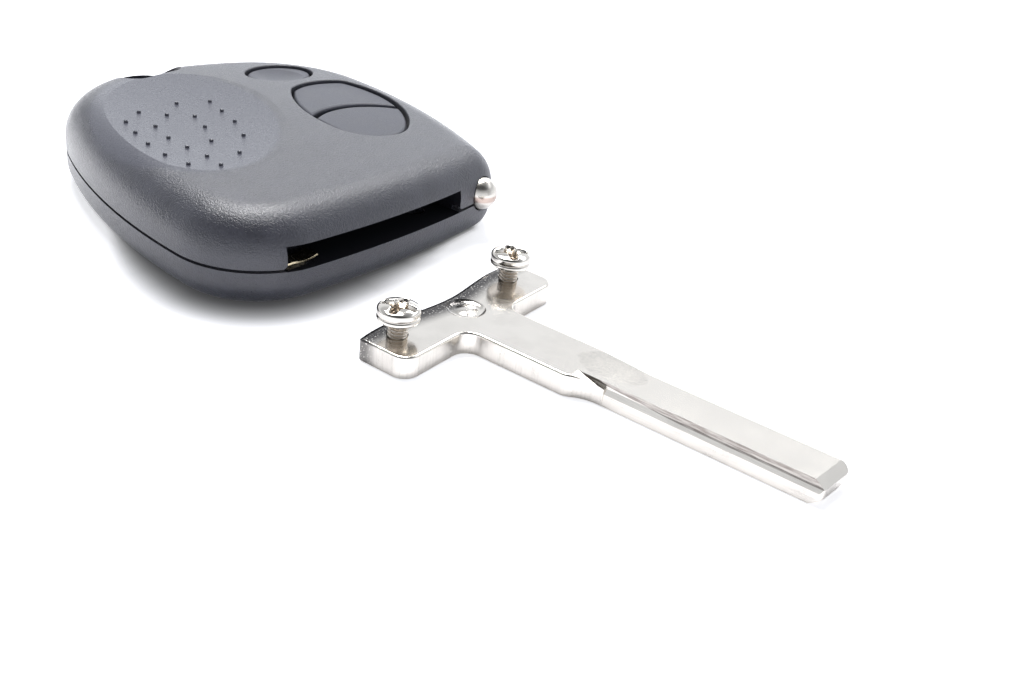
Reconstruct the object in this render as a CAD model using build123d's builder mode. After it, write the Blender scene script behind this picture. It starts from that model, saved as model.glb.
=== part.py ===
from build123d import *
import os
from math import cos, radians, sin

# A three-button car remote: a two-shell case with a slot for the key blade, and the blade
# with its two screws lying in front of it, as the key looks before it is put together.
# Sizes are in millimetres. The origin is on the face that the case rests on, under the
# middle of the case's length on the slot's centre line. +X points out of the slot, +Y to
# the contact pin's side and +Z up.

# Case, as four bulged sides between corners that lean, and its heights
case_length = 55.1
case_width = 46.7
front_reach = 27.4
front_lean = 0.7
back_lean = 6.3
left_reach = 22.2
left_lean = 12.3
right_lean = 8.3
front_bulge = 1.7
back_bulge = 4.4
left_bulge = 4.6
right_bulge = 3.5
front_right_radius = 6.0
back_right_radius = 18.5
back_left_radius = 20.5
front_left_radius = 11.5
case_height = 12.7
crown_drop = 0.8
crown_reach = 29.0
crown_centre = (0.0, 4.5)
parting_height = 5.0
top_round = 5.5
base_round = 3.4

# Shell walls and the joint between the shells
wall = 1.8
roof = 2.3
floor_thickness = 1.6
core_round = 3.4
floor_round = 2.0
groove_height = 0.38
groove_depth = 0.7
tongue_thickness = 0.75
tongue_height = 0.8
tongue_clearance = 0.1
tongue_end = 16.0

# Key blade, in its own frame: x along the blade from the ring, y across
blade_ring = (45.1, -2.05)
blade_turn = 3.2
blade_thickness = 2.82
head_width = 29.3
head_front = 3.25
head_back = 4.3
head_end_back = 3.9
head_middle_back = 3.35
head_horn = 9.5
head_hollow = 1.0
shank_width = 8.0
shank_end = 16.7
blade_far_edge = 3.34
blade_near_edge = 2.57
blade_tip = 47.5
tip_slant = 0.8
tip_bevel = 1.2
tip_bevel_drop = 0.8
tip_radius = 0.8
neck_length = 4.5
neck_middle_drop = 0.75
neck_slope = 0.2
far_neck_length = 7.3
neck_radius = 2.0
head_corner_radius = 2.0
head_back_radius = 0.8
step_start = 17.4
step_edge = 2.44
step_draft = 0.08
step_depth = 0.62
step_foot = 2.84
step_foot_depth = 1.27
ring_radius = 2.43
ring_width = 0.55
ring_depth = 0.28
ring_dome_drop = 0.05
roll_width = 1.0
roll_drop = 0.65
roll_run_out = 2.0
blade_edge_round = 0.3
blade_under_round = 0.15

# Blade screws, M2.5 pan heads standing part-way in the head's tapped holes
screw_spacing = 21.52
screw_setback = 1.53
screw_radius = 1.25
screw_hole_clearance = 0.05
screw_head_radius = 2.5
screw_head_height = 2.1
screw_head_rim = 0.55
screw_head_line = 0.12
screw_head_side = 1.2
dome_shoulder_radius = 1.85
dome_shoulder_drop = 0.3
screw_lift = 2.1
screw_length = 4.85
recess_width = 0.66
recess_length = 3.0
recess_depth = 1.1
recess_turns = (20.0, 50.0)
screw_point = 0.3
head_seat_round = 0.2

# Slot for the blade's head, in the front wall
slot_side_clearance = 0.6
slot_height_clearance = 0.28
slot_depth = 8.4
slot_flare = 0.8
slot_flare_reach = 2.4
pocket_wall = 1.2
head_inset = 0.4
passing_clearance = 0.2
counterbore_clearance = 0.3
counterbore_depth = 2.3

# Keyring opening at the back
keyring_setback = 2.5
keyring_side = 3.9
keyring_length = 11.0
keyring_width = 5.0
keyring_turn = 100.0
keyring_wall = 1.1

# Thumb dish with its field of raised pips
dish_centre = (-5.0, -4.7)
dish_turn = -28.5
dish_length = 41.4
dish_width = 25.0
dish_depth = 1.1
pip_radius = 0.28
pip_height = 0.34
pip_round = 0.18
pip_root = 0.6
outer_pips = [
    (-10.6, -8.1), (-11.5, -1.3), (-9.6, 3.0), (-5.5, 1.9), (-0.9, 0.5), (4.3, -2.2), (9.3, -6.9),
    (11.7, -11.7), (9.2, -14.7), (4.9, -15.0), (0.5, -14.4), (-3.8, -13.3), (-7.8, -12.0),
]
inner_pips = [
    (-8.2, -5.3), (-5.9, -2.4), (-1.7, -3.9), (3.3, -6.7),
    (7.9, -10.9), (3.7, -10.8), (-0.5, -10.6), (-5.0, -9.4),
]

# Buttons: a pair in one opening, split by an arc, and an oval one behind it
pair_back_near = (-7.2, 16.2)
pair_back_far = (-7.1, 26.7)
pair_front = (17.8, 11.1)
pair_back_bulge = 1.4
pair_far_bulge = 6.5
pair_near_bulge = 3.8
pair_back_near_radius = 1.6
pair_back_far_radius = 2.0
pair_front_radius = 6.0
split_centre = (14.5, 16.3)
split_radius = 11.9
split_gap = 1.0
boot_centre = (-14.8, 20.3)
boot_length = 11.6
boot_width = 8.8
boot_turn = 90.0
boot_dish_radius = 22.0
boot_dish_depth = 0.35
button_gap = 0.42
button_recess = 0.32
button_edge = 0.45
rim_round = 0.2
button_flange = 0.55
button_flange_thickness = 0.8
button_seat_gap = 0.03
button_stem_radius = 1.4
button_travel = 0.3

# Contact pin in the front right corner
pin_radius = 2.35
pin_height = 6.2
pin_from_corner = 3.6
pin_dome_start = 27.45
pin_bore_clearance = 0.1
pin_shoulder = 24.5
pin_flange_lip = 0.5
pin_flange_length = 1.0
pin_chamber_clearance = 0.15
pin_seat_gap = 0.05
spring_wire_radius = 0.2
spring_inset = 0.45
spring_length = 5.2
spring_turns = 5.0
spring_end_gap = 0.03
terminal_thickness = 0.3
terminal_tail_width = 2.4
terminal_lap = 2.4
pin_block_back = 16.8
terminal_slot_lap = 1.0

# Coin cell, circuit board and what is soldered to it
cell_centre = (-4.0, 3.0)
cell_radius = 10.0
cell_thickness = 3.2
cell_clearance = 0.3
cell_step = 0.6
cell_ring_wall = 0.9
cell_ring_height = 2.4
strip_thickness = 0.25
strip_width = 4.0
strip_reach = 15.0
strip_tab = 2.0
strip_lead = 1.0
strip_rise = 0.6
seat_clearance = 0.02
board_gap = 0.65
board_thickness = 1.0
board_clearance = 0.4
post_radius = 1.3
post_places = [(15.2, -11.5), (13.2, 24.6), (-15.5, 28.0), (-16.5, -9.0)]
switch_size = 4.6
switch_height = 1.7
switch_corner = 0.3
switch_bore_clearance = 0.05
plunger_radius = 1.25
plunger_length = 1.5
plunger_stand = 0.55
lock_place = (10.0, 15.8)
unlock_place = (-2.2, 18.6)
chip_place = (9.5, -1.5)
chip_size = 6.0
chip_height = 1.2
can_place = (-17.5, 12.5)
can_size = (3.4, 2.6)
can_corner = 0.5
can_height = 0.9
can_edge = 0.2
chip_leg_height = 0.3
chip_leg_rise = 0.7
chip_leg_length = 1.4
chip_leg_pitch = 0.8
chip_legs = 7
antenna_inset = 1.6
antenna_width = 0.8
antenna_height = 0.15
antenna_end = 4.0
resistor_size = (1.6, 0.8)
resistor_height = 0.5
resistor_corner = (9.5, -9.5)
resistor_pitch = (2.6, 1.8)
resistor_rows = (4, 3)

# Contact strip in the slot
leaf_front = 28.05
leaf_hole_clearance = 0.13
leaf_root = -14.9
leaf_tip = -10.3
leaf_channel_depth = 0.35
leaf_bend_height = 0.95
leaf_fold_setback = 1.2
leaf_wall_gap = 0.1
leaf_sag_place = 1.9
leaf_sag_height = 0.74
leaf_tip_height = 1.02
leaf_tip_slope = 0.3
leaf_flat_end = 1.0
leaf_tail_width = 2.4
leaf_tail_lap = 1.0

# Places that follow from the sizes above
case_right = case_width - left_reach
front_right = (front_reach, case_right)
front_left = (front_reach + front_lean, -left_reach)
back_left = (front_left[0] - case_length - front_lean, -left_reach + left_lean)
back_right = (back_left[0] + back_lean, case_right + right_lean)
case_sides = [
    (front_right, back_right, right_bulge),
    (back_right, back_left, back_bulge),
    (back_left, front_left, left_bulge),
    (front_left, front_right, front_bulge),
]
corner_radii = (front_right_radius, back_right_radius, back_left_radius, front_left_radius)
crown_radius = crown_reach**2 / (2 * crown_drop)
ceiling = case_height - roof
slot_half = (head_width + 2 * slot_side_clearance) / 2
slot_height = blade_thickness + slot_height_clearance
passing_hole_radius = screw_radius + passing_clearance
counterbore_radius = screw_head_radius + counterbore_clearance
front_middle = (front_right[0] + front_left[0]) / 2 + front_bulge
pocket_back = front_middle - slot_depth
pocket_front = front_middle + front_bulge
screw_row = front_middle - head_inset - head_front - screw_setback
leaf_back = screw_row + passing_hole_radius + leaf_hole_clearance
leaf_floor = parting_height - leaf_channel_depth + seat_clearance + strip_thickness / 2
dish_direction = Vector(cos(radians(dish_turn)), sin(radians(dish_turn)), 0)
dish_long_radius = 1 / (8 * dish_depth / dish_length**2 - 1 / crown_radius)
dish_cross_radius = 1 / (8 * dish_depth / dish_width**2 - 1 / crown_radius)
keyring_centre = (back_left[0] + keyring_setback, keyring_side)
pin_side = case_right - pin_from_corner
pin_axis = Axis((0, pin_side, pin_height), (1, 0, 0))
pin_flange_radius = pin_radius + pin_flange_lip
pin_chamber_radius = pin_flange_radius + pin_chamber_clearance
spring_radius = pin_flange_radius - spring_inset - spring_wire_radius
terminal_size = 2 * (spring_radius + spring_wire_radius)
pin_flange_front = pin_shoulder - pin_seat_gap
pin_flange_back = pin_flange_front - pin_flange_length
terminal_front = pin_flange_back - spring_length
pin_block_side = pin_side - pin_chamber_radius - pocket_wall
cell_bottom = floor_thickness + strip_thickness + 2 * seat_clearance
cell_top = cell_bottom + cell_thickness
cell_back = cell_centre[0] - cell_radius
cell_front = cell_centre[0] + cell_radius
board_underside = cell_top + board_gap
board_top = board_underside + board_thickness
board_front = pocket_back - pocket_wall - board_clearance
plunger_top = board_top + switch_height + plunger_stand
flange_top = ceiling - button_seat_gap
flange_bottom = flange_top - button_flange_thickness
boot_offset = ((boot_centre[0] - crown_centre[0]) ** 2 + (boot_centre[1] - crown_centre[1]) ** 2) ** 0.5
boot_top = case_height - button_recess - boot_offset**2 / (2 * crown_radius)
blade_plane = Plane(
    origin=(*blade_ring, 0),
    x_dir=(cos(radians(blade_turn)), sin(radians(blade_turn)), 0),
    z_dir=(0, 0, 1),
)
half_head = head_width / 2
half_shank = shank_width / 2
half_thickness = blade_thickness / 2
neck_end = shank_end + neck_length
blade_middle = (blade_far_edge - blade_near_edge) / 2
blade_half_width = (blade_far_edge + blade_near_edge) / 2
tip_centre = blade_plane.from_local_coords((blade_tip - tip_slant / 2, blade_middle, half_thickness))
tip_line = (blade_plane.x_dir * tip_slant + blade_plane.y_dir * 2 * blade_half_width).normalized()
tip_normal = tip_line.cross(blade_plane.z_dir)
neck_centre = blade_plane.from_local_coords((neck_end, blade_middle, half_thickness))
screw_places = [
    blade_plane.from_local_coords((-screw_setback, side * screw_spacing / 2, 0)) for side in (-1, 1)
]
head_seat = blade_thickness + screw_lift
head_top = head_seat + screw_head_height
screw_end = head_seat - screw_length

parts = {}


def keep(builder, name):
    """Label a finished piece and hold it for writing."""
    builder.part.label = name
    parts[name] = builder.part


def case_outline(inset=0.0):
    """The case seen from above, drawn in by an inset all round.

    Each side is an arc of a large circle, so the outline is what all four circles share,
    with its corners rounded.
    """
    with BuildSketch() as outline:
        for start, end, bulge in case_sides:
            chord = Vector(end) - Vector(start)
            radius = chord.length**2 / (8 * bulge) + bulge / 2
            outward = chord.rotate(Axis.Z, -90).normalized()
            centre = (Vector(start) + Vector(end)) / 2 - outward * (radius - bulge)
            with Locations(Location(centre, (0, 0, chord.get_angle(Vector(1, 0, 0))))):
                Circle(radius - inset, mode=Mode.INTERSECT if outline.faces() else Mode.ADD)
        for (corner, _, _), radius in zip(case_sides, corner_radii):
            nearest = outline.vertices().sort_by_distance(corner)[0]
            fillet(nearest, radius - inset)
    return outline.sketch


def keyring_outline(grow=0.0):
    """The keyring opening, a rounded slot along the back edge."""
    with BuildSketch() as outline:
        with Locations(keyring_centre):
            SlotOverall(keyring_length + 2 * grow, keyring_width + 2 * grow, rotation=keyring_turn)
    return outline.sketch


def pair_outline(grow=0.0):
    """The opening that the lock and unlock buttons share, a rounded drop."""
    with BuildSketch() as outline:
        with BuildLine():
            SagittaArc(pair_back_far, pair_back_near, -pair_back_bulge)
            SagittaArc(pair_back_near, pair_front, -pair_near_bulge)
            SagittaArc(pair_front, pair_back_far, -pair_far_bulge)
        make_face()
        for corner, radius in (
            (pair_back_near, pair_back_near_radius),
            (pair_back_far, pair_back_far_radius),
            (pair_front, pair_front_radius),
        ):
            nearest = outline.vertices().sort_by_distance((*corner, 0))[0]
            fillet(nearest, radius)
        if grow:
            offset(amount=grow)
    return outline.sketch


def boot_outline(grow=0.0):
    """The oval opening of the boot button."""
    with BuildSketch() as outline:
        with Locations(boot_centre):
            Ellipse(boot_length / 2 + grow, boot_width / 2 + grow, rotation=boot_turn)
    return outline.sketch


def crown_place(drop=0.0):
    """Centre of the ball whose top gives the crown."""
    return (*crown_centre, case_height - drop - crown_radius)


def dish_height(place):
    """Height of the dish's surface over a place in the case."""
    reach = Vector(place) - Vector(dish_centre)
    along = reach.dot(dish_direction)
    rise = dish_long_radius - (dish_long_radius**2 - along**2) ** 0.5
    across_squared = reach.length**2 - along**2
    ring = dish_cross_radius - rise
    return case_height - dish_depth + dish_cross_radius - (ring**2 - across_squared) ** 0.5


# Room for the contact pin: its bore, the chamber of its flange and spring, and the slots
# for the terminal and its tail
with BuildPart() as pin_room:
    with BuildSketch(Plane.YZ.offset(pin_shoulder)):
        with Locations((pin_side, pin_height)):
            Circle(pin_radius + pin_bore_clearance)
    extrude(amount=case_length)
    with BuildSketch(Plane.YZ.offset(terminal_front)):
        with Locations((pin_side, pin_height)):
            Circle(pin_chamber_radius)
    extrude(amount=pin_shoulder - terminal_front)
    with Locations((terminal_front - terminal_thickness, pin_side, pin_height)):
        Box(
            terminal_thickness + seat_clearance,
            terminal_size + 2 * board_clearance,
            terminal_size + 2 * board_clearance,
            align=(Align.MIN, Align.CENTER, Align.CENTER),
        )
    with Locations((terminal_front, pin_side, board_top)):
        Box(
            terminal_front - pin_block_back + terminal_slot_lap,
            terminal_tail_width + 2 * board_clearance,
            2 * terminal_thickness,
            align=(Align.MAX, Align.CENTER, Align.MIN),
        )

# Room inside the upper shell. The blade pocket, the keyring wall and the pin's block are
# left out of it, so they stand in the shell.
with BuildPart() as upper_room:
    with BuildSketch(Plane.XY.offset(parting_height)):
        add(case_outline(wall))
    extrude(amount=ceiling - parting_height)
    fillet(upper_room.faces().sort_by(Axis.Z)[-1].edges(), core_round)
    with BuildSketch(Plane.XY.offset(parting_height)):
        with Locations(((pocket_back - pocket_wall + pocket_front) / 2, 0)):
            Rectangle(pocket_front - pocket_back + pocket_wall, 2 * (slot_half + pocket_wall))
    extrude(amount=slot_height + pocket_wall, mode=Mode.SUBTRACT)
    with BuildSketch(Plane.XY.offset(parting_height)):
        for rib_side in (-slot_half, 0, slot_half):
            with Locations(((pocket_back + pocket_front) / 2, rib_side)):
                Rectangle(pocket_front - pocket_back, pocket_wall)
    extrude(amount=ceiling, mode=Mode.SUBTRACT)
    with BuildSketch(Plane.XY.offset(parting_height)):
        with Locations((pin_block_back, pin_block_side)):
            Rectangle(case_length, case_width, align=(Align.MIN, Align.MIN))
    extrude(amount=ceiling, mode=Mode.SUBTRACT)
    with BuildSketch(Plane.XY.offset(parting_height)):
        add(keyring_outline(keyring_wall))
    extrude(amount=ceiling, mode=Mode.SUBTRACT)

# One pip of the dish
with BuildPart() as pip:
    Cylinder(pip_radius, pip_root + pip_height, align=(Align.CENTER, Align.CENTER, Align.MIN))
    fillet(pip.faces().sort_by(Axis.Z)[-1].edges(), pip_round)

# Upper shell
with BuildPart() as upper_shell:
    with BuildSketch(Plane.XY.offset(parting_height)):
        add(case_outline())
    extrude(amount=case_height)
    with Locations(crown_place()):
        Sphere(crown_radius, mode=Mode.INTERSECT)
    fillet(upper_shell.faces().sort_by(Axis.Z)[-1].edges(), top_round)
    # Thumb dish, a shallow barrel sunk into the crown, with its pips
    dish_plane = Plane(
        origin=(*dish_centre, case_height - dish_depth),
        x_dir=dish_direction,
        z_dir=dish_direction.rotate(Axis.Z, -90),
    )
    barrel_rise = dish_length**2 / (2 * dish_long_radius)
    with BuildSketch(dish_plane):
        with BuildLine():
            ThreePointArc((-dish_length, barrel_rise), (0, 0), (dish_length, barrel_rise))
            Polyline(
                (dish_length, barrel_rise), (dish_length, dish_cross_radius),
                (-dish_length, dish_cross_radius), (-dish_length, barrel_rise),
            )
        make_face()
    barrel_middle = (*dish_centre, case_height - dish_depth + dish_cross_radius)
    revolve(axis=Axis(barrel_middle, dish_direction), mode=Mode.SUBTRACT)
    add(upper_room.part, mode=Mode.SUBTRACT)
    with Locations([(*place, dish_height(place) - pip_root) for place in outer_pips + inner_pips]):
        add(pip.part)
    # Blade slot, button openings and keyring opening
    with BuildSketch(Plane.XY.offset(parting_height)):
        with Locations((pocket_back, 0)):
            Rectangle(case_length, 2 * slot_half, align=(Align.MIN, Align.CENTER))
    extrude(amount=slot_height, mode=Mode.SUBTRACT)
    with BuildSketch(Plane.YZ.offset(front_middle - slot_flare_reach)):
        for side in (-1, 1):
            foot = (side * slot_half, parting_height)
            with BuildLine():
                Polyline(foot, (side * (slot_half + slot_flare), parting_height),
                         (side * slot_half, parting_height + slot_flare), close=True)
            make_face()
    extrude(amount=case_length, mode=Mode.SUBTRACT)
    for opening in (pair_outline(), boot_outline()):
        with BuildSketch(Plane.XY.offset(parting_height)):
            add(opening)
        extrude(amount=case_height, mode=Mode.SUBTRACT)
        rim = upper_shell.edges(Select.LAST).filter_by_position(Axis.Z, ceiling + rim_round, case_height)
        fillet(rim, rim_round)
    with BuildSketch(Plane.XY):
        add(keyring_outline())
    extrude(amount=2 * case_height, mode=Mode.SUBTRACT)
    # Shadow groove along the parting line, and the rebate for the lower shell's tongue
    with BuildSketch(Plane.XY.offset(parting_height)):
        add(case_outline())
        add(case_outline(groove_depth), mode=Mode.SUBTRACT)
    extrude(amount=groove_height, mode=Mode.SUBTRACT)
    with BuildSketch(Plane.XY.offset(parting_height)):
        add(case_outline(wall - tongue_thickness - tongue_clearance))
        add(case_outline(wall), mode=Mode.SUBTRACT)
        with Locations((tongue_end + tongue_clearance, 0)):
            Rectangle(case_length, 2 * case_width, align=(Align.MIN, Align.CENTER), mode=Mode.SUBTRACT)
    extrude(amount=tongue_height + tongue_clearance, mode=Mode.SUBTRACT)
    add(pin_room.part, mode=Mode.SUBTRACT)
keep(upper_shell, "upper_shell")

# Room inside the lower shell, with the pad under the blade, the walls round the keyring
# opening and the cell, the pin's block and the board's posts left standing
with BuildPart() as lower_room:
    with BuildSketch(Plane.XY.offset(floor_thickness)):
        add(case_outline(wall))
    extrude(amount=parting_height)
    fillet(lower_room.faces().sort_by(Axis.Z)[0].edges(), floor_round)
    with BuildSketch(Plane.XY):
        with Locations((pocket_back - pocket_wall, 0)):
            Rectangle(case_length, 2 * (slot_half + pocket_wall), align=(Align.MIN, Align.CENTER))
        with Locations((pin_block_back, pin_block_side)):
            Rectangle(case_length, case_width, align=(Align.MIN, Align.MIN))
        add(keyring_outline(keyring_wall))
    extrude(amount=case_height, mode=Mode.SUBTRACT)
    with BuildSketch(Plane.XY.offset(floor_thickness)):
        with Locations(cell_centre):
            Circle(cell_radius + cell_clearance + cell_ring_wall)
            Circle(cell_radius + cell_clearance, mode=Mode.SUBTRACT)
            Rectangle(4 * cell_radius, strip_width + 2 * board_clearance, mode=Mode.SUBTRACT)
    extrude(amount=cell_ring_height, mode=Mode.SUBTRACT)

# Lower shell
with BuildPart() as lower_shell:
    with BuildSketch(Plane.XY):
        add(case_outline())
    extrude(amount=parting_height)
    fillet(lower_shell.faces().sort_by(Axis.Z)[0].edges(), base_round)
    with BuildSketch(Plane.XY.offset(parting_height)):
        add(case_outline(wall - tongue_thickness))
        add(case_outline(wall), mode=Mode.SUBTRACT)
        with Locations((tongue_end, 0)):
            Rectangle(case_length, 2 * case_width, align=(Align.MIN, Align.CENTER), mode=Mode.SUBTRACT)
    extrude(amount=tongue_height)
    add(lower_room.part, mode=Mode.SUBTRACT)
    with BuildSketch(Plane.XY):
        add(keyring_outline())
    extrude(amount=case_height, mode=Mode.SUBTRACT)
    # Posts under the circuit board
    with BuildSketch(Plane.XY.offset(floor_thickness / 2)):
        with Locations(post_places):
            Circle(post_radius)
    extrude(amount=board_underside - floor_thickness / 2)
    # Counterbored holes for the blade screws, driven from underneath
    with Locations(Plane.XY * Location((screw_row, 0, 0), (180, 0, 0))):
        with GridLocations(0, screw_spacing, 1, 2):
            CounterBoreHole(passing_hole_radius, counterbore_radius, counterbore_depth, depth=case_height)
    # Channel for the contact strip
    with BuildSketch(Plane.XY.offset(parting_height)):
        with Locations((leaf_back, leaf_root)):
            Rectangle(leaf_front - leaf_back, leaf_tip - leaf_root, align=(Align.MIN, Align.MIN))
        with Locations((pocket_back - pocket_wall, leaf_root)):
            Rectangle(leaf_front - pocket_back + pocket_wall, leaf_tail_width, align=(Align.MIN, Align.MIN))
    extrude(amount=-leaf_channel_depth, mode=Mode.SUBTRACT)
    add(pin_room.part, mode=Mode.SUBTRACT)
keep(lower_shell, "lower_shell")

# Buttons: a cap that follows the crown, on a flange that catches under the roof, with a
# stem that stands on the switch
for name, place in (("lock_button", lock_place), ("unlock_button", unlock_place)):
    cut = Mode.INTERSECT if name == "lock_button" else Mode.SUBTRACT
    side = -split_gap / 2 if name == "lock_button" else split_gap / 2
    with BuildPart() as button:
        with BuildSketch(Plane.XY.offset(flange_bottom)):
            add(pair_outline(-button_gap))
            with Locations(split_centre):
                Circle(split_radius + side, mode=cut)
        extrude(amount=case_height)
        with Locations(crown_place(button_recess)):
            Sphere(crown_radius, mode=Mode.INTERSECT)
        fillet(button.faces().sort_by(Axis.Z)[-1].edges(), button_edge)
        with BuildSketch(Plane.XY.offset(flange_bottom)):
            add(pair_outline(button_flange))
            add(case_outline(wall + core_round), mode=Mode.INTERSECT)
            with Locations(split_centre):
                Circle(split_radius + side, mode=cut)
        extrude(amount=button_flange_thickness)
        with BuildSketch(Plane.XY.offset(plunger_top)):
            with Locations(place):
                Circle(button_stem_radius)
        extrude(amount=flange_bottom - plunger_top)
    keep(button, name)

with BuildPart() as boot_button:
    with BuildSketch(Plane.XY.offset(flange_bottom)):
        add(boot_outline(-button_gap))
    extrude(amount=case_height)
    with Locations(crown_place(button_recess)):
        Sphere(crown_radius, mode=Mode.INTERSECT)
    fillet(boot_button.faces().sort_by(Axis.Z)[-1].edges(), button_edge)
    with Locations((*boot_centre, boot_top + boot_dish_radius - boot_dish_depth)):
        Sphere(boot_dish_radius, mode=Mode.SUBTRACT)
    with BuildSketch(Plane.XY.offset(flange_bottom)):
        add(boot_outline(button_flange))
        add(case_outline(wall + core_round), mode=Mode.INTERSECT)
    extrude(amount=button_flange_thickness)
    with BuildSketch(Plane.XY.offset(plunger_top)):
        with Locations(boot_centre):
            Circle(button_stem_radius)
    extrude(amount=flange_bottom - plunger_top)
keep(boot_button, "boot_button")

# Circuit board: the lower room's outline, cut back from the pocket, the pin and the keyring
with BuildPart() as circuit_board:
    with BuildSketch(Plane.XY.offset(board_underside)):
        add(case_outline(wall + board_clearance))
        with Locations((board_front, 0)):
            Rectangle(case_length, 2 * case_width, align=(Align.MIN, Align.CENTER), mode=Mode.SUBTRACT)
        with Locations((pin_block_back - board_clearance, pin_block_side - board_clearance)):
            Rectangle(case_length, case_width, align=(Align.MIN, Align.MIN), mode=Mode.SUBTRACT)
        add(keyring_outline(keyring_wall + board_clearance), mode=Mode.SUBTRACT)
    extrude(amount=board_thickness)
keep(circuit_board, "circuit_board")

# Push switches: a square case with a bored lid, and the plunger that stands out of it
for name, place in (("lock", lock_place), ("unlock", unlock_place), ("boot", boot_centre)):
    with BuildPart() as switch_body:
        with BuildSketch(Plane.XY.offset(board_top)):
            with Locations(place):
                Rectangle(switch_size, switch_size)
        extrude(amount=switch_height)
        chamfer(switch_body.edges().filter_by(Axis.Z), switch_corner)
        with Locations((*place, board_top + switch_height)):
            Hole(plunger_radius + switch_bore_clearance, depth=plunger_length - plunger_stand + button_travel)
    keep(switch_body, f"{name}_switch")
    with BuildPart() as plunger:
        with BuildSketch(Plane.XY.offset(plunger_top - plunger_length)):
            with Locations(place):
                Circle(plunger_radius)
        extrude(amount=plunger_length)
    keep(plunger, f"{name}_switch_plunger")

# Controller chip with its rows of legs
with BuildPart() as controller_chip:
    with BuildSketch(Plane.XY.offset(board_top + chip_leg_height)):
        with Locations(chip_place):
            Rectangle(chip_size, chip_size)
    extrude(amount=chip_height)
    chamfer(controller_chip.faces().sort_by(Axis.Z)[-1].edges(), chip_leg_height)
    with BuildSketch(Plane.XY.offset(board_top)):
        with Locations(chip_place):
            with GridLocations(chip_size, chip_leg_pitch, 2, chip_legs):
                Rectangle(chip_leg_length, chip_leg_pitch / 2)
    extrude(amount=chip_leg_rise)
keep(controller_chip, "controller_chip")

# Resonator can
with BuildPart() as resonator_can:
    with BuildSketch(Plane.XY.offset(board_top)):
        with Locations(can_place):
            RectangleRounded(*can_size, radius=can_corner)
    extrude(amount=can_height)
    fillet(resonator_can.faces().sort_by(Axis.Z)[-1].edges(), can_edge)
keep(resonator_can, "resonator_can")

# Small chip parts round the controller
with BuildPart() as chip_parts:
    with BuildSketch(Plane.XY.offset(board_top)):
        with Locations(resistor_corner):
            with GridLocations(*resistor_pitch, *resistor_rows):
                Rectangle(*resistor_size)
    extrude(amount=resistor_height)
keep(chip_parts, "chip_parts")

# Antenna, a flat loop of copper round the back of the board
antenna_edge = wall + board_clearance + antenna_inset
with BuildSketch() as inside_antenna:
    add(case_outline(antenna_edge + antenna_width))
    add(keyring_outline(keyring_wall + board_clearance + antenna_inset + antenna_width), mode=Mode.SUBTRACT)
with BuildPart() as antenna_loop:
    with BuildSketch(Plane.XY.offset(board_top)):
        add(case_outline(antenna_edge))
        add(keyring_outline(keyring_wall + board_clearance + antenna_inset), mode=Mode.SUBTRACT)
        add(inside_antenna.sketch, mode=Mode.SUBTRACT)
        with Locations((antenna_end, 0)):
            Rectangle(case_length, 2 * case_width, align=(Align.MIN, Align.CENTER), mode=Mode.SUBTRACT)
    extrude(amount=antenna_height)
keep(antenna_loop, "antenna_loop")

# Coin cell: the can, and the lid that is drawn in at its lower edge
with BuildPart() as coin_cell:
    with BuildSketch(Plane.XY.offset(cell_bottom)):
        with Locations(cell_centre):
            Circle(cell_radius)
    extrude(amount=cell_thickness)
    chamfer(coin_cell.faces().sort_by(Axis.Z)[0].edges(), cell_step)
    fillet(coin_cell.faces().sort_by(Axis.Z)[-1].edges(), cell_step / 2)
keep(coin_cell, "coin_cell")

# Cell contacts: one strip over the cell and one under it, each rising to the board
with BuildPart() as positive_contact:
    with BuildSketch(Plane.XZ.offset(-cell_centre[1] - strip_width / 2)):
        with BuildLine():
            Polyline(
                (cell_back - strip_lead - strip_tab, board_underside - strip_thickness / 2),
                (cell_back - strip_lead, board_underside - strip_thickness / 2),
                (cell_back + strip_lead, cell_top + seat_clearance + strip_thickness / 2),
                (cell_back + strip_reach, cell_top + seat_clearance + strip_thickness / 2),
            )
        trace(line_width=strip_thickness)
    extrude(amount=strip_width)
keep(positive_contact, "positive_contact")

with BuildPart() as negative_contact:
    with BuildSketch(Plane.XZ.offset(-cell_centre[1] - strip_width / 2)):
        with BuildLine():
            Polyline(
                (cell_front + strip_lead + strip_rise + strip_tab, board_underside - strip_thickness / 2),
                (cell_front + strip_lead + strip_rise, board_underside - strip_thickness / 2),
                (cell_front + strip_lead, floor_thickness + seat_clearance + strip_thickness / 2),
                (cell_front - strip_reach, floor_thickness + seat_clearance + strip_thickness / 2),
            )
        trace(line_width=strip_thickness)
    extrude(amount=strip_width)
keep(negative_contact, "negative_contact")

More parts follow.
